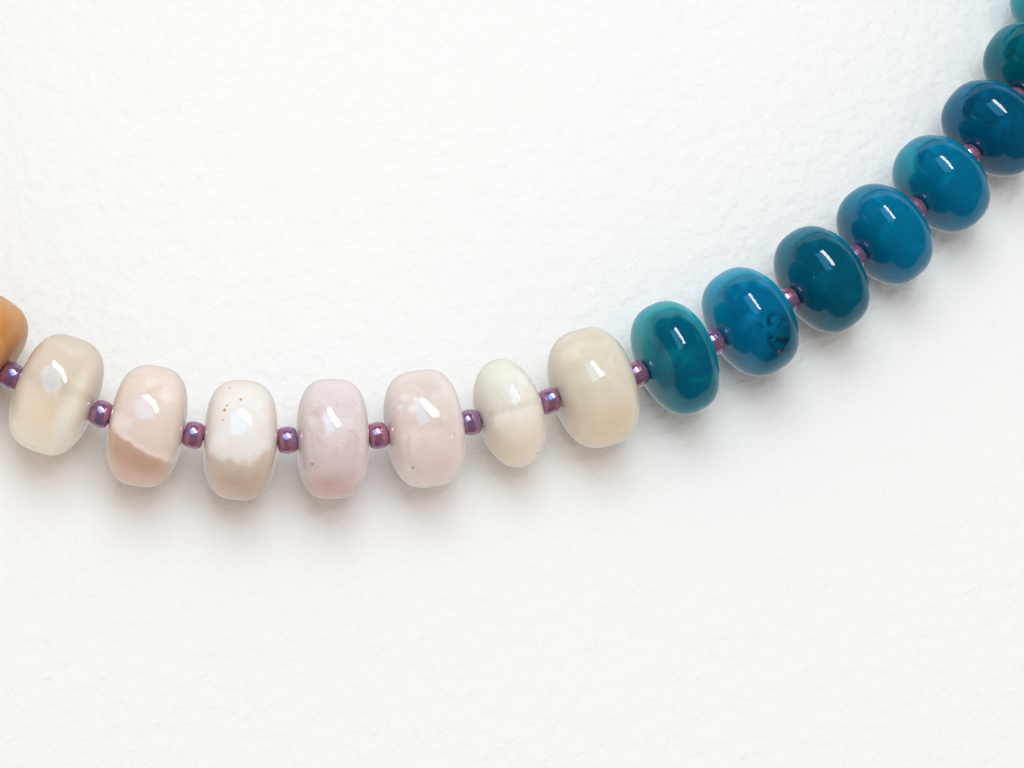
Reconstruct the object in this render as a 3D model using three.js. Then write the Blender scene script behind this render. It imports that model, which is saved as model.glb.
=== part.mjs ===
// A short necklace of polished stone rondelles with one lustred seed bead in every gap, strung on
// one thread and closed by a plain barrel clasp. It lies flat as one smooth oval loop, with the
// front of the loop towards -Y and the clasp at the back. Millimetres, +Z up.
import * as THREE from 'three';

// Stone rondelles
const RONDELLE_COUNT = 42;
const RONDELLE_DIAMETER = 12.4;
const RONDELLE_THICKNESS = 7.7;
const RONDELLE_SIDES = 12;
// Power of the rounded cross-section: 2 is an ellipse, larger is squarer at the rim
const RONDELLE_PROFILE_POWER = 2.86;
const RONDELLE_RIM_STEPS = 7;
// How far round its profile the polished rim runs before the flat end face, in degrees
const RONDELLE_RIM_REACH = 80;

// Seed beads, the thread through everything, and the room that pieces leave each other
const SEED_DIAMETER = 2.9;
const SEED_LENGTH = 2.13;
const SEED_SIDES = 10;
const THREAD_DIAMETER = 0.5;
const BORE_PLAY = 0.35;
const SEED_CLEARANCE = 0.2;

// Barrel clasp
const CLASP_LENGTH = 13;
const CLASP_DIAMETER = 5;
const CLASP_SIDES = 14;
const CLASP_RIM_STEPS = 7;
const CLASP_PROFILE_POWER = 3.2;
const CLASP_RIM_REACH = 72;
const SOCKET_DEPTH = 2.6;

// The oval that the string lies in: how far its front and back arcs turn, in degrees, and how
// much wider the front arc's radius is than that of a plain circle of the same length
const FRONT_TURN = 50;
const BACK_TURN = 57;
const FRONT_BOW = 1.68;

// One row for each rondelle of the front, left to right. The same run of hand-cut sizes repeats
// round the loop. Diameter and thickness are shares of the sizes above, turn is in degrees.
const CUT_ROWS = [
  { diameter: 1.03, thickness: 1.03, turn: 3.5 },
  { diameter: 1.02, thickness: 0.995, turn: 3.5 },
  { diameter: 1.01, thickness: 0.98, turn: 0 },
  { diameter: 1.02, thickness: 0.955, turn: -3.5 },
  { diameter: 1.015, thickness: 1.02, turn: -1 },
  { diameter: 0.95, thickness: 0.86, turn: 3 },
  { diameter: 1.035, thickness: 1.05, turn: -1.5 },
  { diameter: 1.025, thickness: 0.95, turn: 0.5 },
  { diameter: 1, thickness: 1.025, turn: 3.5 },
  { diameter: 0.995, thickness: 0.985, turn: 0 },
  { diameter: 0.97, thickness: 0.965, turn: -0.5 },
  { diameter: 0.955, thickness: 0.98, turn: 0 },
  { diameter: 0.985, thickness: 0.985, turn: 1 },
  { diameter: 1, thickness: 0.99, turn: -2 },
];
// The pale stones and the run of sizes start after the amber stones of the left shoulder
const FIRST_FRONT_RONDELLE = 13;

// A seed bead's outline: place along it and radius, as shares of its length and radius
const SEED_OUTLINE = [
  { along: -0.5, radius: 0.64 },
  { along: -0.24, radius: 1 },
  { along: 0.24, radius: 1 },
  { along: 0.5, radius: 0.64 },
];

// Tones of the stones, from one side of the clasp to the other: amber, then pale, then teal
const AMBER_TONES = [0xb86c24, 0xc98434, 0x9c5a22];
const PALE_TONES = [0xdacfbe, 0xe4d2c4, 0xe8e2dd, 0xd8c4be, 0xd7c4bc, 0xe1decd, 0xd7cdb6];
const TEAL_TONES = [0x005a64, 0x006496, 0x004b5a, 0x005a82, 0x006996, 0x003c64, 0x00566e];

const threadRadius = THREAD_DIAMETER / 2;
const boreRadius = threadRadius + BORE_PLAY;
const necklace = new THREE.Group();

function radians(degrees) {
  return THREE.MathUtils.degToRad(degrees);
}

function cutOf(index) {
  const row = (index - FIRST_FRONT_RONDELLE) % CUT_ROWS.length;
  return CUT_ROWS.at(row);
}

// Outer outline of a turned, round-edged piece: superellipse points from one end face to the
// other, as [radius, place along the axis], with a true flat band round the widest part
function roundedOutline(radius, length, power, steps, reach) {
  const bend = 2 / power;
  const points = [];
  for (let step = 0; step <= steps; step += 1) {
    const angle = radians(reach) * (2 * step / steps - 1);
    const along = Math.sign(angle) * Math.abs(Math.sin(angle)) ** bend;
    points.push([Math.cos(angle) ** bend, along]);
  }
  const widest = Math.max(...points.map((point) => point[0]));
  const end = points[steps][1];
  return points.map((point) => new THREE.Vector2(point[0] * radius / widest, point[1] * length / 2 / end));
}

// A lathe's flats lie inside its circle, so this radius puts their middles on the circle
function flatsRadius(radius, sides) {
  return radius / Math.cos(Math.PI / sides);
}

function drilledRondelleGeometry(diameter, thickness) {
  const outer = flatsRadius(diameter / 2, RONDELLE_SIDES);
  const outline = roundedOutline(
    outer, thickness, RONDELLE_PROFILE_POWER, RONDELLE_RIM_STEPS, RONDELLE_RIM_REACH);
  const bore = flatsRadius(boreRadius, RONDELLE_SIDES);
  const profile = [
    new THREE.Vector2(bore, -thickness / 2),
    ...outline,
    new THREE.Vector2(bore, thickness / 2),
    new THREE.Vector2(bore, -thickness / 2),
  ];
  return new THREE.LatheGeometry(profile, RONDELLE_SIDES, Math.PI / RONDELLE_SIDES);
}

// A barrel with a blind socket in each end for the thread
function claspGeometry() {
  const outer = flatsRadius(CLASP_DIAMETER / 2, CLASP_SIDES);
  const outline = roundedOutline(
    outer, CLASP_LENGTH, CLASP_PROFILE_POWER, CLASP_RIM_STEPS, CLASP_RIM_REACH);
  const socket = flatsRadius(boreRadius, CLASP_SIDES);
  const end = CLASP_LENGTH / 2;
  const floor = end - SOCKET_DEPTH;
  const profile = [
    new THREE.Vector2(0, -floor),
    new THREE.Vector2(socket, -floor),
    new THREE.Vector2(socket, -end),
    ...outline,
    new THREE.Vector2(socket, end),
    new THREE.Vector2(socket, floor),
    new THREE.Vector2(0, floor),
  ];
  return new THREE.LatheGeometry(profile, CLASP_SIDES, Math.PI / CLASP_SIDES);
}

// Where each rondelle starts and ends along the string, counted from the clasp's middle
const rondelles = [];
let strungLength = CLASP_LENGTH / 2 + SEED_LENGTH;
for (let index = 0; index < RONDELLE_COUNT; index += 1) {
  const cut = cutOf(index);
  const thickness = cut.thickness * RONDELLE_THICKNESS;
  rondelles.push({
    diameter: cut.diameter * RONDELLE_DIAMETER,
    thickness,
    turn: radians(cut.turn),
    start: strungLength,
    end: strungLength + thickness,
  });
  strungLength += thickness + SEED_LENGTH;
}
strungLength += CLASP_LENGTH / 2;

// The loop is five arcs that run smoothly into each other, of the strung length in all. With the
// front's radius given, the shoulders' and the back's follow from the loop closing on itself.
const frontHalf = radians(FRONT_TURN) / 2;
const backHalf = radians(BACK_TURN) / 2;
const shoulderTurn = Math.PI - frontHalf - backHalf;
const frontRadius = FRONT_BOW * strungLength / (2 * Math.PI);
const widthRatio = Math.sin(frontHalf) / Math.sin(backHalf);
const shoulderRadius = (strungLength / 2 - frontRadius * (frontHalf + backHalf * widthRatio))
  / (shoulderTurn + backHalf * (1 - widthRatio));
const backRadius = frontRadius * widthRatio + shoulderRadius * (1 - widthRatio);
const loopArcs = [
  { radius: backRadius, turn: backHalf },
  { radius: shoulderRadius, turn: shoulderTurn },
  { radius: frontRadius, turn: 2 * frontHalf },
  { radius: shoulderRadius, turn: shoulderTurn },
  { radius: backRadius, turn: backHalf },
];

// The place on the loop at a distance from the clasp's middle, anticlockwise from above
function placeOnLoop(distance) {
  let left = (distance + strungLength) % strungLength;
  let heading = Math.PI;
  const place = new THREE.Vector3();
  for (const arc of loopArcs) {
    const swept = Math.min(left / arc.radius, arc.turn);
    place.x += arc.radius * (Math.sin(heading + swept) - Math.sin(heading));
    place.y -= arc.radius * (Math.cos(heading + swept) - Math.cos(heading));
    heading += swept;
    left -= swept * arc.radius;
  }
  return place;
}

// The middle and the direction of a straight piece whose two ends lie on the loop
function seatBetween(start, end, height) {
  const from = placeOnLoop(start);
  const to = placeOnLoop(end);
  const middle = from.clone().add(to).multiplyScalar(0.5).setZ(height);
  const along = to.sub(from).normalize();
  return { middle, along };
}

// Stands a turned piece on the loop: its axis runs along the string and a flat faces down
function seatOnLoop(mesh, seat, turn) {
  const along = seat.along.clone().applyAxisAngle(new THREE.Vector3(0, 0, 1), turn);
  const down = new THREE.Vector3(0, 0, -1);
  const side = along.clone().cross(down);
  mesh.quaternion.setFromRotationMatrix(new THREE.Matrix4().makeBasis(side, along, down));
  mesh.position.copy(seat.middle);
  necklace.add(mesh);
}

function toneOf(index) {
  if (index < FIRST_FRONT_RONDELLE) {
    return AMBER_TONES[index % AMBER_TONES.length];
  }
  const pastAmber = index - FIRST_FRONT_RONDELLE;
  if (pastAmber < PALE_TONES.length) {
    return PALE_TONES[pastAmber];
  }
  return TEAL_TONES[(pastAmber - PALE_TONES.length) % TEAL_TONES.length];
}

// Each rondelle is a drilled and polished stone that rests on the flat at its lowest point
rondelles.forEach((rondelle, index) => {
  const stone = new THREE.MeshStandardMaterial({ color: toneOf(index), roughness: 0.08, metalness: 0 });
  const mesh = new THREE.Mesh(drilledRondelleGeometry(rondelle.diameter, rondelle.thickness), stone);
  mesh.name = `rondelle_${String(index + 1).padStart(2, '0')}`;
  seatOnLoop(mesh, seatBetween(rondelle.start, rondelle.end, rondelle.diameter / 2), rondelle.turn);
});

// The clasp is one plain barrel that closes the loop, as high as the bores of its neighbours
const claspHeight = (rondelles[0].diameter + rondelles[RONDELLE_COUNT - 1].diameter) / 4;
const silver = new THREE.MeshStandardMaterial({ color: 0xc8c6c0, roughness: 0.25, metalness: 1 });
const clasp = new THREE.Mesh(claspGeometry(), silver);
clasp.name = 'clasp';
seatOnLoop(clasp, seatBetween(-CLASP_LENGTH / 2, CLASP_LENGTH / 2, claspHeight), 0);

// Sections of the string: thread through the bores, swelling to a seed bead in each gap
function seedSections(gapStart, height) {
  const length = SEED_LENGTH - 2 * SEED_CLEARANCE;
  const seat = seatBetween(gapStart, gapStart + SEED_LENGTH, height);
  const sectionAt = (along, radius) => ({
    centre: seat.middle.clone().addScaledVector(seat.along, along * length),
    along: seat.along,
    radius,
  });
  const outline = SEED_OUTLINE.map((row) => sectionAt(row.along, row.radius * SEED_DIAMETER / 2));
  const first = sectionAt(SEED_OUTLINE[0].along, threadRadius);
  const last = sectionAt(SEED_OUTLINE[SEED_OUTLINE.length - 1].along, threadRadius);
  return [first, ...outline, last];
}

function threadEnd(distance) {
  const centre = placeOnLoop(distance).setZ(claspHeight);
  return { centre, along: claspDirection, radius: threadRadius };
}

const claspDirection = seatBetween(-CLASP_LENGTH / 2, CLASP_LENGTH / 2, claspHeight).along;
const threadEndDistance = CLASP_LENGTH / 2 - SOCKET_DEPTH + SEED_CLEARANCE;
const sections = [threadEnd(threadEndDistance)];
for (let gap = 0; gap <= RONDELLE_COUNT; gap += 1) {
  const before = rondelles[gap - 1];
  const after = rondelles[gap];
  const gapStart = before ? before.end : CLASP_LENGTH / 2;
  const height = before && after ? (before.diameter + after.diameter) / 4 : claspHeight;
  sections.push(...seedSections(gapStart, height));
}
sections.push(threadEnd(strungLength - threadEndDistance));

// A closed body through round sections, with a point in the middle of each end
function stringGeometry(rings, sides) {
  const up = new THREE.Vector3(0, 0, 1);
  const places = [];
  const triangles = [];
  for (const ring of rings) {
    const outward = ring.along.clone().cross(up);
    for (let side = 0; side < sides; side += 1) {
      const angle = 2 * Math.PI * side / sides;
      const place = ring.centre.clone();
      place.addScaledVector(outward, ring.radius * Math.cos(angle));
      place.addScaledVector(up, ring.radius * Math.sin(angle));
      places.push(...place.toArray());
    }
  }
  const firstMiddle = rings.length * sides;
  const lastMiddle = firstMiddle + 1;
  const lastRing = (rings.length - 1) * sides;
  places.push(...rings[0].centre.toArray());
  places.push(...rings[rings.length - 1].centre.toArray());
  for (let side = 0; side < sides; side += 1) {
    const next = (side + 1) % sides;
    for (let ring = 0; ring < lastRing; ring += sides) {
      triangles.push(ring + side, ring + sides + side, ring + next);
      triangles.push(ring + next, ring + sides + side, ring + sides + next);
    }
    triangles.push(firstMiddle, side, next);
    triangles.push(lastMiddle, lastRing + next, lastRing + side);
  }
  const geometry = new THREE.BufferGeometry();
  geometry.setAttribute('position', new THREE.Float32BufferAttribute(places, 3));
  geometry.setIndex(triangles);
  geometry.computeVertexNormals();
  return geometry;
}

const lustre = new THREE.MeshStandardMaterial({ color: 0x6e4664, roughness: 0.15, metalness: 0.4 });
const strungSeeds = new THREE.Mesh(stringGeometry(sections, SEED_SIDES), lustre);
strungSeeds.name = 'seed_bead_thread';
necklace.add(strungSeeds);

// The origin lies on the surface, under the middle of the whole necklace
const middle = new THREE.Box3().setFromObject(necklace, true).getCenter(new THREE.Vector3());
necklace.position.set(-middle.x, -middle.y, 0);

export default necklace;
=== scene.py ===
"""A short necklace of large polished stone rondelles with lustred seed beads between them."""

import math

import bmesh
import bpy
from mathutils import Matrix, Vector, noise


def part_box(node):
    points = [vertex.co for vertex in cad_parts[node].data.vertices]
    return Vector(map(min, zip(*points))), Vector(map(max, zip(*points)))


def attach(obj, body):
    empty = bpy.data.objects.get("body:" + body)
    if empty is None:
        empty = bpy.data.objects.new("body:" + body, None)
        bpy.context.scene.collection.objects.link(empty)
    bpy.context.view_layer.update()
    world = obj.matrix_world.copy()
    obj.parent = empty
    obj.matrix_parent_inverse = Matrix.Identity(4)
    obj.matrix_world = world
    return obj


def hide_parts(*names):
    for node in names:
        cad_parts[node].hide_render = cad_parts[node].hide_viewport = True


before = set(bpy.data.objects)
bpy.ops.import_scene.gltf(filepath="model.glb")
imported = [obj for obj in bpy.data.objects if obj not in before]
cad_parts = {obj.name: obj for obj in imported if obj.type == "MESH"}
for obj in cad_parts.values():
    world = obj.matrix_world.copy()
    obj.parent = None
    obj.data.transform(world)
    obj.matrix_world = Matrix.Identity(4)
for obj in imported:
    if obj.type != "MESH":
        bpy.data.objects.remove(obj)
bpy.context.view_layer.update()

# Amber rondelles
# The thirteen beads on one side are banded amber-coloured agate. Each is a pebble ground to a fat
# wheel, drilled through its middle, tumbled to a high polish and threaded to stand on its rim.
MM = 0.001
AMBER_COUNT = 13
AMBER_LEAN = 18
BAND_STEP = 3.9
RONDELLE_STEPS = 88
RIM_POINTS = 40
RIM_POWER = 2.86
BORE_RADIUS = 0.6 * MM
BORE_MOUTH = 0.28 * MM
GRINDING_WOBBLE = 0.13 * MM
WOBBLE_SIZE = 4.5 * MM
WOBBLE_STEP = (7.3, 3.1)
CRISP_ANGLE = math.radians(40)
STONE_IOR = 1.54
POLISH_RELIEF = 0.12 * MM
# Painted rim glow: LIT_SIDE points up towards the camera, and the flanks that turn away from it,
# from LIT_UNTIL to SHADED_FROM, are painted lighter in each look's edge colour, the loop's outer
# side with only OUTER_GLOW_SHARE of it.
LIT_SIDE = (-0.29, -0.26, 0.92)
LIT_UNTIL = 0.78
SHADED_FROM = 0.35
OUTER_GLOW_SHARE = 0.3


def place_of(node, long_axis=False):
    """Middle, direction along the string, length along it and diameter of a turned piece.

    The direction comes from how the solid spreads: a wheel is widest across its hole, and a
    barrel is longest along it.
    """
    low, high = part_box(node)
    middle = (low + high) / 2
    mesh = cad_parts[node].data
    points = [vertex.co - middle for vertex in mesh.vertices]
    spread_x = spread_y = spread_xy = 0
    for face in mesh.polygons:
        first, second, third = (points[corner] for corner in face.vertices)
        volume = first.dot(second.cross(third))
        for point in (first, second, third, first + second + third):
            spread_x += volume * point.x * point.x
            spread_y += volume * point.y * point.y
            spread_xy += volume * point.x * point.y
    wide = math.atan2(2 * spread_xy, spread_x - spread_y) / 2
    turn = wide if long_axis else wide + math.pi / 2
    along = Vector((math.cos(turn), math.sin(turn), 0))
    if along.dot(Vector((-middle.y, middle.x, 0))) < 0:
        along = -along
    length = 2 * max(point.dot(along) for point in points)
    return {"middle": middle, "along": along, "length": length, "diameter": high.z - low.z}


def bead_frame(place):
    """Turns a piece made along X at the origin into its place on the string."""
    along = place["along"]
    inward = Vector((0, 0, 1)).cross(along)
    turn = Matrix((along, inward, (0, 0, 1))).transposed().to_4x4()
    return Matrix.Translation(place["middle"]) @ turn


def turned(outline, steps, drilled=True):
    """(along, radius) points spun round X: a ring outline if drilled, else from pole to pole."""
    shape = bmesh.new()
    corners = [shape.verts.new((along, 0, radius)) for along, radius in outline]
    closing = corners[:1] if drilled else []
    sides = [shape.edges.new(pair) for pair in zip(corners, corners[1:] + closing)]
    bmesh.ops.spin(
        shape, geom=corners + sides, axis=(1, 0, 0), cent=(0, 0, 0),
        angle=math.tau, steps=steps, use_merge=True,
    )
    bmesh.ops.remove_doubles(shape, verts=shape.verts, dist=0.001 * MM)
    bmesh.ops.recalc_face_normals(shape, faces=shape.faces)
    return shape


def rondelle_outline(radius, length, power):
    """Superellipse rim, eased hole mouths and the straight bore between them."""
    bend = 2 / power
    mouth = BORE_RADIUS + BORE_MOUTH
    reach = math.acos((mouth / radius) ** (1 / bend))
    end = math.sin(reach) ** bend
    rim = []
    for step in range(RIM_POINTS + 1):
        angle = reach * (2 * step / RIM_POINTS - 1)
        side = math.copysign(abs(math.sin(angle)) ** bend, angle)
        rim.append((side / end * length / 2, radius * math.cos(angle) ** bend))
    eased = []
    for degrees in (30, 60, 90):
        turn = math.radians(degrees)
        along = length / 2 - BORE_MOUTH * (1 - math.cos(turn))
        eased.append((along, mouth - BORE_MOUTH * math.sin(turn)))
    near_mouth = [(-along, radius) for along, radius in reversed(eased)]
    return rim + eased + near_mouth


def make_rondelle(index, power=RIM_POWER):
    """One drilled rondelle, a little uneven from grinding, in its node's place."""
    node = f"rondelle_{index:02d}"
    place = place_of(node)
    radius = place["diameter"] / 2
    shape = turned(rondelle_outline(radius, place["length"], power), RONDELLE_STEPS)
    for vertex in shape.verts:
        across = math.hypot(vertex.co.y, vertex.co.z)
        own_part = Vector((index * WOBBLE_STEP[0], index * WOBBLE_STEP[1], 0))
        hollow = noise.noise(vertex.co / WOBBLE_SIZE + own_part)
        depth = GRINDING_WOBBLE * (0.5 + hollow) * (across / radius) ** 2
        vertex.co -= vertex.co.normalized() * max(depth, 0)
    lowest = min(vertex.co.z for vertex in shape.verts) + radius
    bmesh.ops.translate(shape, verts=shape.verts, vec=(0, 0, -lowest))
    bmesh.ops.transform(shape, matrix=bead_frame(place), verts=shape.verts)
    return finish_piece(f"stone_{index:02d}", shape, [node])


def finish_piece(name, shape, nodes):
    """Smooth-shaded object at the origin that rides on the necklace in place of its nodes."""
    mesh = bpy.data.meshes.new(name)
    for face in shape.faces:
        face.smooth = True
    shape.to_mesh(mesh)
    shape.free()
    mesh.set_sharp_from_angle(angle=CRISP_ANGLE)
    piece = bpy.data.objects.new(name, mesh)
    bpy.context.scene.collection.objects.link(piece)
    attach(piece, "root")
    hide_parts(*nodes)
    return piece


def paint(code):
    """Linear colour of a six-digit display colour."""
    parts = [int(code[start:start + 2], 16) / 255 for start in (0, 2, 4)]
    linear = [p / 12.92 if p <= 0.04045 else ((p + 0.055) / 1.055) ** 2.4 for p in parts]
    return (*linear, 1)


def new_material(name):
    """A material and its node tree, still empty."""
    material = bpy.data.materials.new(name)
    material.use_nodes = True
    material.node_tree.nodes.clear()
    return material, material.node_tree


def fill(tree, made, values):
    """Sets a node's inputs to values, or links them to other sockets."""
    for socket, value in values.items():
        if isinstance(value, bpy.types.NodeSocket):
            tree.links.new(value, made.inputs[socket])
        else:
            made.inputs[socket].default_value = value


def add(tree, kind, values=None, **settings):
    """A new node with its settings and its inputs."""
    made = tree.nodes.new("ShaderNode" + kind)
    for key, value in settings.items():
        setattr(made, key, value)
    fill(tree, made, values or {})
    return made


def reckon(tree, operation, *values):
    """Output of one Math node."""
    return add(tree, "Math", dict(enumerate(values)), operation=operation).outputs[0]


def ramp(tree, value, start, end, low=0, high=1, kind="SMOOTHSTEP"):
    """Output that goes from low to high while value goes from start to end."""
    made = add(tree, "MapRange", {"Value": value, "From Min": start, "From Max": end,
                                  "To Min": low, "To Max": high}, interpolation_type=kind)
    return made.outputs[0]


def blend_colours(tree, share, first, second):
    """Colour socket that goes from first to second with share."""
    mix = add(tree, "Mix", {0: share, 6: first, 7: second}, data_type="RGBA")
    return mix.outputs[2]


def effect(name, inputs, outputs):
    """An empty shader group with named inputs and outputs, and its two end nodes."""
    group = bpy.data.node_groups.new(name, "ShaderNodeTree")
    for label, value in inputs.items():
        kind = "NodeSocketVector" if value is None else "NodeSocketFloat"
        socket = group.interface.new_socket(label, in_out="INPUT", socket_type=kind)
        if value is not None:
            socket.default_value = value
    for label in outputs:
        group.interface.new_socket(label, in_out="OUTPUT", socket_type="NodeSocketFloat")
    start = group.nodes.new("NodeGroupInput")
    end = group.nodes.new("NodeGroupOutput")
    return group, start.outputs, end.inputs


def use(tree, group, values):
    """The outputs of a group placed in a material with its own values."""
    placed = tree.nodes.new("ShaderNodeGroup")
    placed.node_tree = group
    fill(tree, placed, values)
    return placed.outputs


def make_cloud():
    """Soft clouds inside the stone: 0 in clear stone, 1 in the cloud."""
    group, given, out = effect(
        "stone_cloud", {"Vector": None, "Scale": 0.3, "Low": 0.4, "High": 0.6, "Twist": 0.5},
        ["Mask"])
    field = add(group, "TexNoise", {"Vector": given["Vector"], "Scale": given["Scale"],
                                    "Detail": 3, "Distortion": given["Twist"]})
    mask = ramp(group, field.outputs["Fac"], given["Low"], given["High"])
    group.links.new(mask, out["Mask"])
    return group


def make_seam_and_painted_light():
    """A bent, slightly ragged sheet: 1 on its lower side, for stone zones and painted light zones.
    """
    group, given, out = effect(
        "stone_seam_and_painted_light", {"Vector": None, "Slope": 0, "Height": 0, "Curve": 0, "Ragged": 0.5,
                       "Softness": 0.5}, ["Mask"])
    place = add(group, "SeparateXYZ", {0: given["Vector"]})
    along = place.outputs["X"]
    sloped = reckon(group, "MULTIPLY_ADD", along, given["Slope"], place.outputs["Y"])
    square = reckon(group, "MULTIPLY", along, along)
    curved = reckon(group, "MULTIPLY_ADD", square, given["Curve"], sloped)
    rough = add(group, "TexNoise", {"Vector": given["Vector"], "Scale": 0.5, "Detail": 3})
    centred = reckon(group, "SUBTRACT", rough.outputs["Fac"], 0.5)
    ragged = reckon(group, "MULTIPLY_ADD", centred, given["Ragged"], curved)
    above = reckon(group, "SUBTRACT", ragged, given["Height"])
    lower_end = reckon(group, "MULTIPLY", given["Softness"], -1)
    group.links.new(ramp(group, above, given["Softness"], lower_end), out["Mask"])
    return group


def specks(tree, spot, scale, rim, core, share):
    """Mask of specks in a share of the cells: 0 past the rim, 1 inside the core."""
    cells = add(tree, "TexVoronoi", {"Vector": spot, "Scale": scale})
    inside = ramp(tree, cells.outputs["Distance"], rim, core)
    tone = add(tree, "SeparateColor", {0: cells.outputs["Color"]})
    chosen = reckon(tree, "LESS_THAN", tone.outputs[0], share)
    return reckon(tree, "MULTIPLY", inside, chosen)


def make_flecks():
    """Small scattered specks: 1 inside a speck."""
    group, given, out = effect(
        "stone_flecks", {"Vector": None, "Scale": 0.8, "Size": 0.1, "Share": 0.3}, ["Mask"])
    mask = specks(group, given["Vector"], given["Scale"], given["Size"], 0, given["Share"])
    group.links.new(mask, out["Mask"])
    return group


def make_polish():
    """The tumbled skin: a soft unevenness with a few pinholes, and where it is less glossy."""
    group, given, out = effect("stone_polish", {"Vector": None}, ["Height", "Roughness"])
    spot = given["Vector"]
    waves = add(group, "TexNoise", {"Vector": spot, "Scale": 0.55, "Detail": 1})
    pits = specks(group, spot, scale=0.9, rim=0.07, core=0.02, share=0.2)
    pit_depth = -0.4
    height = reckon(group, "MULTIPLY_ADD", pits, pit_depth, waves.outputs["Fac"])
    haze = add(group, "TexNoise", {"Vector": spot, "Scale": 0.35, "Detail": 4})
    rough = ramp(group, haze.outputs["Fac"], start=0.35, end=0.7, low=0.035, high=0.075,
                 kind="LINEAR")
    pit_roughness = 0.3
    rougher = reckon(group, "MULTIPLY_ADD", pits, pit_roughness, rough)
    group.links.new(height, out["Height"])
    group.links.new(rougher, out["Roughness"])
    return group


stone_cloud = make_cloud()
stone_seam_and_painted_light = make_seam_and_painted_light()
stone_flecks = make_flecks()
stone_polish = make_polish()


def bead_pattern(tree, node, lean_degrees, shift):
    """Object coordinates in mm from the bead's middle: X along the string, Z to its lit face."""
    place = place_of(node)
    lean = Matrix.Rotation(-math.radians(lean_degrees), 4, "X")
    turn = lean @ bead_frame(place).to_3x3().transposed().to_4x4()
    coords = add(tree, "TexCoord")
    moved = (turn @ place["middle"]) / MM
    mapping = add(tree, "Mapping", {
        "Vector": coords.outputs["Object"], "Location": Vector(shift) - moved,
        "Rotation": turn.to_euler("XYZ"), "Scale": (1 / MM,) * 3})
    return mapping.outputs[0]


def cloud_mask(tree, spot, scale, low, high, twist):
    """Mask of soft clouds."""
    return use(tree, stone_cloud, {"Vector": spot, "Scale": scale, "Low": low, "High": high,
                                   "Twist": twist})["Mask"]


def seam_and_painted_light_mask(tree, spot, slope, height, curve, ragged, softness):
    """Mask of the zone below one seam, whether a zone of the stone or of painted light."""
    return use(tree, stone_seam_and_painted_light, {"Vector": spot, "Slope": slope, "Height": height,
                                  "Curve": curve, "Ragged": ragged,
                                  "Softness": softness})["Mask"]


def fleck_mask(tree, spot, scale, size, share):
    """Mask of small scattered flecks."""
    return use(tree, stone_flecks, {"Vector": spot, "Scale": scale, "Size": size,
                                    "Share": share})["Mask"]


def spot_mask(tree, spot, x, y, size):
    """Mask of one small inclusion that runs into the stone at x, y on its lit face."""
    flat = add(tree, "VectorMath", {0: spot, 1: (1, 1, 0)}, operation="MULTIPLY")
    gap = add(tree, "VectorMath", {0: flat.outputs[0], 1: (x, y, 0)}, operation="DISTANCE")
    outline = add(tree, "TexNoise", {"Vector": spot, "Scale": 0.8 / size, "Detail": 2})
    uneven = reckon(tree, "MULTIPLY_ADD", outline.outputs["Fac"], -1.6 * size,
                    gap.outputs["Value"])
    return ramp(tree, uneven, start=size * 0.2, end=-size * 0.4)


def mottle_mask(tree, spot, x, y, size, scale):
    """Mask of a patch of broken clouds round x, y."""
    grain = cloud_mask(tree, spot, scale, low=0.46, high=0.6, twist=0.3)
    return reckon(tree, "MULTIPLY", grain, spot_mask(tree, spot, x, y, size))


def bore_mask(tree, spot, height, width, share):
    """Faint line along the string where the drilled hole shows through clear stone."""
    place = add(tree, "SeparateXYZ", {0: spot})
    gap = reckon(tree, "SUBTRACT", place.outputs["Y"], height)
    return ramp(tree, reckon(tree, "ABSOLUTE", gap), start=width, end=width * 0.2, high=share)


def stone_body(node, look, lean_degrees, shift=(0, 0, 0)):
    """Material of one stone from its look.

    Clouds, seams, zones of painted light and the other marks are laid over the body colour, one
    kind after another. Each has its colour and the values of its mask, with sizes and places in mm
    on the lit face. Last comes a painted rim glow: the flanks turned away from LIT_SIDE are painted
    towards the edge colour, most on the loop's inner side, standing in for light that comes out
    again at the rims.
    """
    material, tree = new_material(f"polished_{node}")
    spot = bead_pattern(tree, node, lean_degrees, shift)
    tone = paint(look["body"])
    masks = {"clouds": cloud_mask, "seams_and_painted_light": seam_and_painted_light_mask, "flecks": fleck_mask,
             "mottles": mottle_mask, "spots": spot_mask, "bores": bore_mask}
    for mark, mask_of in masks.items():
        for colour, *values in look.get(mark, []):
            tone = blend_colours(tree, mask_of(tree, spot, *values), tone, paint(colour))
    # Painted rim glow: the flanks turned away from LIT_SIDE go lighter to the edge colour, most on
    # the loop's inner side, standing in for light that comes out again at the rims.
    skin_way = add(tree, "NewGeometry")
    lit = add(tree, "VectorMath", {0: skin_way.outputs["Normal"], 1: LIT_SIDE},
              operation="DOT_PRODUCT")
    across = add(tree, "SeparateXYZ", {0: spot})
    glow = ramp(tree, across.outputs["Y"], start=-3, end=4,
                low=look["glow"] * OUTER_GLOW_SHARE, high=look["glow"])
    painted_rim_glow = ramp(tree, lit.outputs["Value"], LIT_UNTIL, SHADED_FROM, high=glow)
    tone = blend_colours(tree, painted_rim_glow, tone, paint(look["painted_rim_glow"]))
    skin = use(tree, stone_polish, {"Vector": spot})
    bump = add(tree, "Bump", {"Height": skin["Height"], "Strength": 0.035,
                              "Distance": POLISH_RELIEF})
    shader = add(tree, "BsdfPrincipled", {
        "Base Color": tone, "Roughness": skin["Roughness"], "IOR": STONE_IOR,
        "Specular IOR Level": look.get("shine", 0.5),
        "Subsurface Weight": look["clarity"], "Subsurface Radius": look["depth"],
        "Subsurface Scale": look["reach"] * MM, "Normal": bump.outputs[0]})
    add(tree, "OutputMaterial", {"Surface": shader.outputs[0]})
    return material


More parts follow.
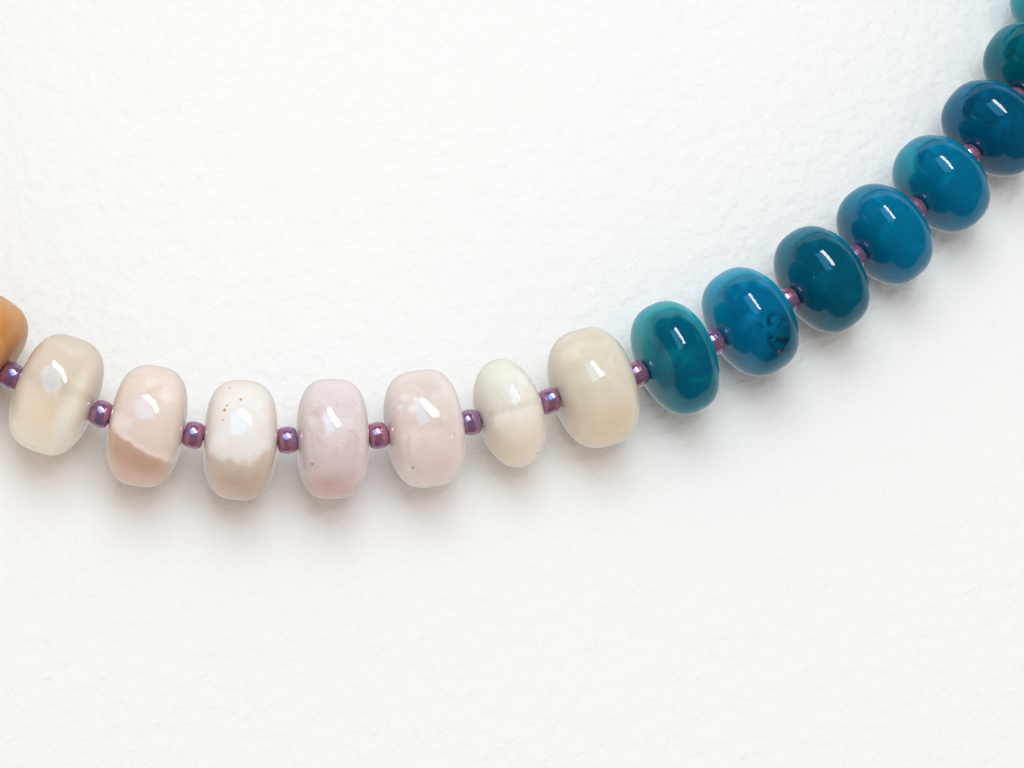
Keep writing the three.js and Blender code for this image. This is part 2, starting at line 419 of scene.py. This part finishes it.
# Each amber look's edge colour is the colour of the painted rim glow on the flanks.
AMBER_LOOKS = [
    {"body": "be7a36", "painted_rim_glow": "dfb079",
     "clouds": [("d59d58", 0.16, 0.45, 0.68, 0.8), ("94501a", 0.12, 0.5, 0.72, 0.6)]},
    {"body": "c07e38", "painted_rim_glow": "e2bb82",
     "clouds": [("d8a563", 0.18, 0.48, 0.7, 0.8), ("a26024", 0.14, 0.5, 0.74, 0.6)]},
    {"body": "98551f", "painted_rim_glow": "cc9455",
     "clouds": [("b87436", 0.18, 0.45, 0.68, 0.8), ("763a10", 0.16, 0.52, 0.74, 0.8)]},
    {"body": "a9601e", "painted_rim_glow": "d4a263",
     "clouds": [("cc9250", 0.2, 0.52, 0.74, 0.6), ("884814", 0.14, 0.46, 0.7, 0.7)]},
]

for index in range(1, AMBER_COUNT + 1):
    look = dict(AMBER_LOOKS[(AMBER_COUNT - index) % len(AMBER_LOOKS)])
    look.update(clarity=0.8, depth=(1, 0.5, 0.2), reach=3.0, glow=0.6)
    stone = make_rondelle(index)
    shift = (0, 0, index * BAND_STEP)
    stone.data.materials.append(stone_body(f"rondelle_{index:02d}", look, AMBER_LEAN, shift))

# Pale rondelles
# The seven beads at the front are milky agate, quartz and jade-like stone, each of its own colour
# and clearness. They are ground and polished like the amber ones, the green-white one thinner.
FIRST_PALE = AMBER_COUNT + 1
# PALE_GLOW is the strength of the painted rim glow; each pale look's edge colour is its colour.
PALE_GLOW = 0.7
PALE_LOOKS = [
    {"slot": "grey_cream_stone", "body": "dacdbe", "painted_rim_glow": "d6c8b9", "lean": 19,
     "clouds": [("d6c8b7", 0.14, 0.4, 0.62, 0.4), ("e2dace", 0.2, 0.5, 0.7, 0.6)],
     # Painted light: the first, third and fourth seams make the lower side, the +X end and the
     # lowest rim lighter, for light that comes through the clear stone to its shaded side. The
     # second seam only makes the -X end greyer and darker.
     "seams_and_painted_light": [("f1e0cb", 0.25, -1.6, 0, 0.8, 2.6), ("cdc6bb", 8, -21, 0, 2, 5),
               ("fcf4e6", -8, -18, 0, 2, 8), ("fef0dc", 0.2, -4.4, 0, 0.6, 1.2)],
     "bores": [("b9b3aa", 0.9, 0.9, 0.3)],
     "clarity": 1.0, "depth": (1, 0.94, 0.88), "reach": 8},
    {"slot": "pink_cream_stone", "body": "e6d8d0", "painted_rim_glow": "ead9cd", "lean": 20,
     "clouds": [("e8d5cc", 0.22, 0.45, 0.7, 0.6), ("efe8e5", 0.28, 0.5, 0.68, 0.5)],
     "seams_and_painted_light": [("f0e3dc", 0.38, -2.0, -0.06, 1.3, 0.35), ("d1b4a3", 0.38, -2.5, -0.06, 1.3, 0.3),
               ("ccae9a", 0.38, -2.9, -0.04, 1.2, 0.5), ("d8bfae", 0.3, -4.4, 0.02, 0.6, 0.9)],
     "clarity": 1.0, "depth": (1, 0.88, 0.78), "reach": 3},
    {"slot": "white_stone", "body": "ece9e6", "painted_rim_glow": "ece5dc", "lean": 20,
     "clouds": [("f2f1f0", 0.25, 0.45, 0.65, 0.6), ("ebe1d8", 0.25, 0.6, 0.78, 0.8)],
     "seams_and_painted_light": [("d5c8bc", -0.1, -2.4, -0.15, 4.5, 0.8), ("cebbad", 0.1, -3.8, -0.08, 3, 1.2),
               ("c4a994", -1.2, -6.0, 0, 0.8, 2.0)],
     "spots": [("e09a5e", -1.5, 5.3, 0.2), ("e09a5e", -0.3, 4.1, 0.18),
               ("e4a672", -1.7, 3.4, 0.15), ("e09a5e", -1.9, 2.9, 0.2),
               ("e8b890", -2.0, 1.9, 0.18)],
     "clarity": 0.95, "depth": (1, 0.92, 0.84), "reach": 2.6},
    {"slot": "dusty_pink_stone", "body": "e4dbda", "painted_rim_glow": "ebe2e0", "lean": 20,
     "clouds": [("d8c8c8", 0.4, 0.42, 0.66, 0.6), ("e9e2e3", 0.8, 0.48, 0.68, 0.4)],
     "seams_and_painted_light": [("dccecf", 0.05, -1.4, 0, 1.6, 2.4), ("d0b0ab", 0.05, -4.4, 0, 1.6, 1.4),
               ("e9e1e0", 0, 4.6, 0, 1, -1.8)],
     "flecks": [("eee9ea", 1.3, 0.18, 0.5)],
     "spots": [("9a888c", -2.5, -2.6, 0.18)],
     "clarity": 0.85, "depth": (1, 0.86, 0.83), "reach": 2.2},
    {"slot": "pale_pink_stone", "body": "e2d6d1", "painted_rim_glow": "f0e8e3", "lean": 19,
     "clouds": [("e9e1de", 0.35, 0.48, 0.7, 0.9), ("dacbc5", 0.2, 0.45, 0.7, 0.5)],
     "seams_and_painted_light": [("e3d6d2", 0.0, -2.2, 0, 1.2, 2)],
     "flecks": [("f4f0ee", 0.7, 0.2, 0.45), ("f4f0ee", 1.6, 0.16, 0.3)],
     "spots": [("b0948a", -2.4, -3.9, 0.16), ("eee9e6", -2.3, 3.4, 0.6), ("eee9e6", -2.9, 2.5, 0.4),
               ("eee9e6", -1.9, 2.1, 0.45), ("eee9e6", -1.3, 3.1, 0.3)],
     "bores": [("d0bfba", 0.4, 0.9, 0.2)],
     "clarity": 1.0, "depth": (1, 0.93, 0.9), "reach": 4},
    {"slot": "green_white_stone", "body": "e8e4dc", "painted_rim_glow": "ebe9df", "lean": 17,
     "clouds": [("f2f1ec", 0.3, 0.45, 0.66, 0.6), ("e2dacb", 0.22, 0.5, 0.72, 0.8)],
     "seams_and_painted_light": [("e7dccf", -0.5, -1.6, 0, 1, 2), ("e2d8c0", 1.6, -6.2, 0.06, 0.7, 0.9),
               ("e6eadf", -0.8, 3.6, 0, 1, -1.2)],
     "spots": [("b78a5e", 1.0, -4.9, 0.14)],
     "bores": [("a8a496", 0.4, 0.6, 0.2)],
     "clarity": 1.0, "depth": (1, 0.97, 0.88), "reach": 4, "power": 2.2},
    {"slot": "celadon_stone", "body": "d7d2c2", "painted_rim_glow": "e0dbcc", "lean": 17,
     "clouds": [("dfdacc", 0.18, 0.45, 0.66, 0.8), ("d8cdb8", 0.22, 0.46, 0.7, 0.6)],
     "seams_and_painted_light": [("e0d2bd", -0.15, -2.2, 0, 1.4, 2.6)],
     "spots": [("e4e2d6", -2.4, 4.0, 1.1)],
     "clarity": 1.0, "depth": (1, 0.95, 0.86), "reach": 6},
]

for index, pale_look in enumerate(PALE_LOOKS, FIRST_PALE):
    look = dict(pale_look, glow=PALE_GLOW)
    stone = make_rondelle(index, look.get("power", RIM_POWER))
    stone.data.materials.append(stone_body(f"rondelle_{index:02d}", look, look["lean"]))

# Teal and blue rondelles
# The other side is dyed agate, from green teal to deep blue, with darker clouds where the dye
# has gone deep and a few natural inclusions. It is cut, drilled and polished like the rest.
FIRST_TEAL = FIRST_PALE + len(PALE_LOOKS)
TEAL_COUNT = 22
TEAL_LEAN = 12
TEAL_POWER = 2.55
DYE_STEP = 9.0
# Each teal look's edge colour and glow give the painted rim glow on the flanks.
TEAL_LOOKS = [
    {"body": "005a76", "painted_rim_glow": "18aebe", "glow": 0.8,
     "clouds": [("007484", 0.3, 0.46, 0.66, 0.6), ("00525e", 0.2, 0.5, 0.74, 1)],
     "spots": [("05323c", -0.3, 5.5, 0.14)]},
    {"body": "006892", "painted_rim_glow": "0ca4c8", "glow": 0.8,
     "clouds": [("0880aa", 0.3, 0.48, 0.7, 0.8), ("005676", 0.2, 0.5, 0.74, 0.8)],
     "seams_and_painted_light": [("004c66", -0.6, -2.6, 0, 2.5, 1.4)],
     "mottles": [("01435c", -0.4, -2.0, 2.2, 0.9), ("022c3e", -0.2, -3.4, 1.9, 1.1)],
     "spots": [("8a4f30", -0.9, -4.4, 0.24)]},
    {"body": "00536c", "painted_rim_glow": "0086a2", "glow": 0.6,
     "clouds": [("00607a", 0.3, 0.46, 0.66, 0.6), ("004a5c", 0.2, 0.5, 0.74, 1)]},
    {"body": "006c92", "painted_rim_glow": "007ea0", "glow": 0.6,
     "clouds": [("007fa6", 0.3, 0.46, 0.7, 0.9), ("00688e", 0.2, 0.5, 0.74, 1)]},
    {"body": "006a90", "painted_rim_glow": "0490ae", "glow": 0.7,
     "clouds": [("007ea6", 0.3, 0.48, 0.7, 0.9), ("00587a", 0.2, 0.5, 0.74, 1)],
     # Painted rim glow: this seam is a bright cyan crescent on the inner flank towards the -X end.
     "seams_and_painted_light": [("0a9cb0", -1.0, 6.3, 0, 0.8, -0.5)]},
    {"body": "005172", "painted_rim_glow": "007ca4", "glow": 0.6,
     "clouds": [("006084", 0.3, 0.46, 0.68, 0.8), ("003e58", 0.2, 0.5, 0.74, 1)]},
    {"body": "005a6c", "painted_rim_glow": "008090", "glow": 0.6,
     "clouds": [("007080", 0.3, 0.46, 0.68, 0.8), ("004a5a", 0.2, 0.5, 0.74, 1)]},
]

for offset in range(TEAL_COUNT):
    index = FIRST_TEAL + offset
    later_round, kind = divmod(offset, len(TEAL_LOOKS))
    look = dict(TEAL_LOOKS[kind])
    look.update(clarity=0.7, depth=(0.1, 0.8, 1), reach=1.6, shine=0.36)
    stone = make_rondelle(index, TEAL_POWER)
    shift = (0, 0, later_round * DYE_STEP)
    stone.data.materials.append(stone_body(f"rondelle_{index:02d}", look, TEAL_LEAN, shift))

# Seed beads
# One lustred plum glass seed bead sits in each gap, 43 in all. They are slices of a drawn glass
# tube, rounded in the kiln, with a thin metallic lustre fired on.
SEED_DIAMETER = 2.9 * MM
SEED_HOLE = 0.9 * MM
SEED_END_SHARE = 0.58
SEED_FULLNESS = 0.9
SEED_ARC_DEGREES = 15
SEED_STEPS = 28
SEED_PLAY = 0.06 * MM
LUSTRE_IOR = 1.6
last_rondelle = FIRST_TEAL + TEAL_COUNT - 1
string_places = [place_of(f"rondelle_{index:02d}") for index in range(1, last_rondelle + 1)]
clasp_place = place_of("clasp", long_axis=True)
string_places = [clasp_place, *string_places, clasp_place]


def seed_outline(length):
    """Short barrel with a flat belly, rounded down to two small end faces, and its hole."""
    radius = SEED_DIAMETER / 2
    hole = SEED_HOLE / 2
    rim = []
    for degrees in range(-90, 91, SEED_ARC_DEGREES):
        turn = math.radians(degrees)
        swell = max(math.cos(turn), 0) ** SEED_FULLNESS
        share = SEED_END_SHARE + (1 - SEED_END_SHARE) * swell
        rim.append((length / 2 * math.sin(turn), radius * share))
    return rim + [(length / 2, hole), (-length / 2, hole)]


all_seeds = bmesh.new()
thread_points = []
for before, after in zip(string_places, string_places[1:]):
    start = before["middle"] + before["along"] * before["length"] / 2
    end = after["middle"] - after["along"] * after["length"] / 2
    gap = end - start
    seed = turned(seed_outline(gap.length - SEED_PLAY), SEED_STEPS)
    seat = {"middle": (start + end) / 2, "along": gap.normalized()}
    bmesh.ops.transform(seed, matrix=bead_frame(seat), verts=seed.verts)
    part = bpy.data.meshes.new("one_seed")
    seed.to_mesh(part)
    seed.free()
    all_seeds.from_mesh(part)
    bpy.data.meshes.remove(part)
    thread_points += [start, end]

seeds = finish_piece("seed_beads", all_seeds, ["seed_bead_thread"])


def millimetres(tree):
    """Object coordinates in mm."""
    coords = add(tree, "TexCoord")
    spot = add(tree, "Mapping", {"Vector": coords.outputs["Object"], "Scale": (1 / MM,) * 3})
    return spot.outputs[0]


def lustre_material():
    """Plum glass under a patchy metallic lustre."""
    material, tree = new_material("plum_lustre_glass")
    spot = millimetres(tree)
    patch = cloud_mask(tree, spot, scale=0.5, low=0.4, high=0.62, twist=0.3)
    tone = blend_colours(tree, patch, paint("c0829e"), paint("a47ea8"))
    worn = cloud_mask(tree, spot, scale=1.6, low=0.5, high=0.7, twist=0.3)
    metal = ramp(tree, worn, 0, 1, low=0.6, high=0.4, kind="LINEAR")
    rough = ramp(tree, worn, 0, 1, low=0.16, high=0.24, kind="LINEAR")
    shader = add(tree, "BsdfPrincipled", {
        "Base Color": tone, "Metallic": metal, "Roughness": rough, "IOR": LUSTRE_IOR,
        "Coat Weight": 1.0, "Coat Roughness": 0.04})
    add(tree, "OutputMaterial", {"Surface": shader.outputs[0]})
    return material


seeds.data.materials.append(lustre_material())

# Thread
# One thin twisted beading thread runs through every bead, from the socket in one end of the clasp
# to the socket in the other.
THREAD_DIAMETER = 0.5 * MM
TWIST_RELIEF = 0.05 * MM
SOCKET_DEPTH = 2.2 * MM
socket_step = clasp_place["along"] * SOCKET_DEPTH
thread_points = [thread_points[0] - socket_step, *thread_points,
                 thread_points[-1] + socket_step]
route = bpy.data.curves.new("thread_route", "CURVE")
route.dimensions = "3D"
route.bevel_depth = THREAD_DIAMETER / 2
route.bevel_resolution = 2
route.use_fill_caps = True
line = route.splines.new("POLY")
line.points.add(len(thread_points) - 1)
for point, place in zip(line.points, thread_points):
    point.co = (*place, 1)
route_object = bpy.data.objects.new("thread_route", route)
thread_mesh = bpy.data.meshes.new_from_object(route_object)
bpy.data.objects.remove(route_object)
thread_shape = bmesh.new()
thread_shape.from_mesh(thread_mesh)
thread = finish_piece("thread", thread_shape, ["seed_bead_thread"])


def thread_material():
    """Fine plum thread with a twisted lay."""
    material, tree = new_material("plum_thread")
    lay = add(tree, "TexWave", {"Vector": millimetres(tree), "Scale": 2.4, "Distortion": 1.5})
    tone = blend_colours(tree, lay.outputs["Fac"], paint("5c4a5e"), paint("85738a"))
    bump = add(tree, "Bump", {"Height": lay.outputs["Fac"], "Strength": 0.5,
                              "Distance": TWIST_RELIEF})
    shader = add(tree, "BsdfPrincipled", {
        "Base Color": tone, "Roughness": 0.65, "Normal": bump.outputs[0],
        "Sheen Weight": 0.3})
    add(tree, "OutputMaterial", {"Surface": shader.outputs[0]})
    return material


thread.data.materials.append(thread_material())

# Clasp
# A plain barrel clasp closes the necklace at the back. It is satin silver-coloured metal, turned
# in two halves that meet at a fine seam, with a narrow collar at each end round the thread's hole.
CLASP_STEPS = 56
BARREL_STEPS = 14
BARREL_POWER = 3.2
BARREL_SWEEP = math.radians(72)
CLASP_HOLE = 0.6 * MM
HOLE_EASE = 0.2 * MM
SEAM_HALF = 0.12 * MM
SEAM_DEPTH = 0.16 * MM
COLLAR_PLACE = 4.6 * MM
LATHE_RELIEF = 0.02 * MM


def clasp_outline(radius, length):
    """Barrel with a seam round its middle, a groove behind each collar and blind end holes."""
    bend = 2 / BARREL_POWER
    half = [(0, radius - SEAM_DEPTH), (SEAM_HALF, radius)]
    grooved = False
    for step in range(2, BARREL_STEPS):
        angle = BARREL_SWEEP * step / BARREL_STEPS
        along = length / 2 * math.sin(angle) ** bend
        across = radius * math.cos(angle) ** bend
        if along > COLLAR_PLACE and not grooved:
            half += [(COLLAR_PLACE - SEAM_HALF, across), (COLLAR_PLACE, across - SEAM_DEPTH),
                     (COLLAR_PLACE + SEAM_HALF, across)]
            grooved = True
        if abs(along - COLLAR_PLACE) > 2 * SEAM_HALF:
            half.append((along, across))
    blind_end = length / 2 - SOCKET_DEPTH - THREAD_DIAMETER
    half += [(length / 2, CLASP_HOLE + HOLE_EASE), (length / 2 - HOLE_EASE, CLASP_HOLE),
             (blind_end, CLASP_HOLE), (blind_end, 0)]
    return [(-along, across) for along, across in reversed(half[1:])] + half


clasp_radius = clasp_place["diameter"] / 2
clasp_shape = turned(clasp_outline(clasp_radius, clasp_place["length"]), CLASP_STEPS, False)
bmesh.ops.transform(clasp_shape, matrix=bead_frame(clasp_place), verts=clasp_shape.verts)
clasp = finish_piece("barrel_clasp", clasp_shape, ["clasp"])


def satin_metal():
    """Turned satin silver with faint lathe rings and a little handling wear."""
    material, tree = new_material("satin_silver")
    spot = bead_pattern(tree, "clasp", lean_degrees=0, shift=(0, 0, 0))
    rings = add(tree, "TexWave", {"Vector": spot, "Scale": 3.2, "Distortion": 0.4,
                                  "Detail": 1}, bands_direction="X")
    wear = cloud_mask(tree, spot, scale=0.6, low=0.4, high=0.65, twist=0.4)
    tone = blend_colours(tree, wear, paint("c9c7c3"), paint("b4b1ad"))
    rough = ramp(tree, wear, 0, 1, low=0.3, high=0.42, kind="LINEAR")
    bump = add(tree, "Bump", {"Height": rings.outputs["Fac"], "Strength": 0.15,
                              "Distance": LATHE_RELIEF})
    shader = add(tree, "BsdfPrincipled", {
        "Base Color": tone, "Metallic": 1.0, "Roughness": rough, "Normal": bump.outputs[0]})
    add(tree, "OutputMaterial", {"Surface": shader.outputs[0]})
    return material


clasp.data.materials.append(satin_metal())

# Floor
# A plain pale surface with a fine grain, flat under the necklace. It isn't part of the object, and
# it is left out of mirrored rays, because the world below stands for it in the polish.
FLOOR_HALF = 1.2
FLOOR_GRAIN = 600
FLOOR_RELIEF = 0.5 * MM
floor_shape = bmesh.new()
bmesh.ops.create_grid(floor_shape, x_segments=1, y_segments=1, size=FLOOR_HALF)
floor_mesh = bpy.data.meshes.new("floor")
floor_shape.to_mesh(floor_mesh)
floor_shape.free()
floor = bpy.data.objects.new("floor", floor_mesh)
bpy.context.scene.collection.objects.link(floor)
floor.visible_glossy = False
floor_paint, floor_tree = new_material("pale_floor")
floor_coords = add(floor_tree, "TexCoord")
grain = add(floor_tree, "TexNoise", {"Vector": floor_coords.outputs["Object"],
                                     "Scale": FLOOR_GRAIN, "Detail": 3})
floor_bump = add(floor_tree, "Bump", {"Height": grain.outputs["Fac"], "Strength": 0.8,
                                      "Distance": FLOOR_RELIEF})
floor_shader = add(floor_tree, "BsdfPrincipled", {
    "Base Color": paint("f5f5f4"), "Roughness": 0.85, "Specular IOR Level": 0.2,
    "Normal": floor_bump.outputs[0]})
add(floor_tree, "OutputMaterial", {"Surface": floor_shader.outputs[0]})
floor.data.materials.append(floor_paint)

# Camera
# A long lens, close above the front of the necklace and a little turned, as the photograph is.
AIM = Vector((-22.81, -50.26, 6.2)) * MM
CAMERA_DISTANCE = 280.4 * MM
CAMERA_TURN = math.radians(48.57)
CAMERA_RISE = math.radians(67.17)
CAMERA_ROLL = math.radians(20.73)
SENSOR_WIDTH = 36
FOCAL_LENGTH = 92.85
forward = Vector((math.sin(CAMERA_TURN) * math.cos(CAMERA_RISE),
                  math.cos(CAMERA_TURN) * math.cos(CAMERA_RISE), -math.sin(CAMERA_RISE)))
level = Vector((math.cos(CAMERA_TURN), -math.sin(CAMERA_TURN), 0))
upright = level.cross(forward)
right = math.cos(CAMERA_ROLL) * level + math.sin(CAMERA_ROLL) * upright
upward = math.cos(CAMERA_ROLL) * upright - math.sin(CAMERA_ROLL) * level
camera_data = bpy.data.cameras.new("camera")
camera_data.sensor_width = SENSOR_WIDTH
camera_data.lens = FOCAL_LENGTH
camera_data.clip_start = 0.01
camera = bpy.data.objects.new("camera", camera_data)
bpy.context.scene.collection.objects.link(camera)
camera.matrix_world = (Matrix.Translation(AIM - forward * CAMERA_DISTANCE)
                       @ Matrix((right, upward, -forward)).transposed().to_4x4())
bpy.context.scene.camera = camera

# Light
# Soft studio light from overhead. A narrow bright panel and a broad bluish one beside it are seen
# only as highlights in the polish, and a third, soft one lights the stones and the floor.
LIGHT_DISTANCE = 0.5
LIGHT_POWER = 4
SLANT = (0.34, -0.94, 0)


def panel(name, toward, slant, wide_degrees, high_degrees, brightness, colour, mirrored):
    """A rectangular light of the given size as seen from the necklace, for highlights or not."""
    away = (right * toward[0] + upward * toward[1] - forward * toward[2]).normalized()
    side = right * slant[0] + upward * slant[1] - forward * slant[2]
    side = (side - away * side.dot(away)).normalized()
    width = 2 * LIGHT_DISTANCE * math.tan(math.radians(wide_degrees / 2))
    height = 2 * LIGHT_DISTANCE * math.tan(math.radians(high_degrees / 2))
    lamp = bpy.data.lights.new(name, "AREA")
    lamp.shape = "RECTANGLE"
    lamp.size = width
    lamp.size_y = height
    lamp.energy = LIGHT_POWER * width * height * brightness
    lamp.color = colour
    light = bpy.data.objects.new(name, lamp)
    bpy.context.scene.collection.objects.link(light)
    light.matrix_world = (Matrix.Translation(AIM + away * LIGHT_DISTANCE)
                          @ Matrix((side, away.cross(side), away)).transposed().to_4x4())
    light.visible_glossy = mirrored
    light.visible_diffuse = not mirrored


panel("window_edge", (0.15, 0.67, 0.73), SLANT, 38, 8.5, 18, (1, 0.97, 0.92), True)
panel("window_pane", (-0.1, 0.505, 0.857), SLANT, 42, 25, 3.4, (0.15, 0.55, 1), True)
panel("soft_key", (0.1, 0.6, 0.79), SLANT, 50, 35, 2.4, (0.9, 1.06, 1.15), False)

# Room
# The light that comes from everywhere else: a warm white ambient, and in the polish a dim room
# above and a pale sheet below, a little darker on the near side and straight under the stones.
AMBIENT = (0.665, 0.585, 0.53, 1)
ROOM_REFLECTION = (0.055, 0.06, 0.065, 1)
PAPER_REFLECTION = (0.73, 0.73, 0.72, 1)
BACKDROP = (0.82, 0.82, 0.81, 1)
PAPER_NORMAL = (-0.3224, -0.3215, 0.8904)
PAPER_EDGE = -0.078
PAPER_BLUR = 0.015
world = bpy.data.worlds.new("studio")
bpy.context.scene.world = world
world.use_nodes = True
sky = world.node_tree
sky.nodes.clear()
path = add(sky, "LightPath")
gaze = add(sky, "TexCoord").outputs["Generated"]
rise = add(sky, "VectorMath", {0: gaze, 1: PAPER_NORMAL}, operation="DOT_PRODUCT")
rise = rise.outputs["Value"]
ahead = add(sky, "VectorMath", {0: gaze, 1: tuple(upward)}, operation="DOT_PRODUCT")
ahead = ahead.outputs["Value"]
below = ramp(sky, rise, PAPER_EDGE + PAPER_BLUR, PAPER_EDGE - PAPER_BLUR, kind="LINEAR")
side_lit = ramp(sky, ahead, start=-0.8, end=0.5, low=0.8, kind="LINEAR")
open_lit = ramp(sky, rise, start=-0.95, end=-0.3, low=0.9, kind="LINEAR")
lit = reckon(sky, "MULTIPLY", side_lit, open_lit)
paper = blend_colours(sky, lit, (0, 0, 0, 1), PAPER_REFLECTION)
mirrored = blend_colours(sky, below, ROOM_REFLECTION, paper)
around = blend_colours(sky, path.outputs["Is Glossy Ray"], AMBIENT, mirrored)
shade = blend_colours(sky, path.outputs["Is Camera Ray"], around, BACKDROP)
glow = add(sky, "Background", {"Color": shade})
add(sky, "OutputWorld", {"Surface": glow.outputs[0]})
bpy.context.scene.view_settings.view_transform = "Standard"
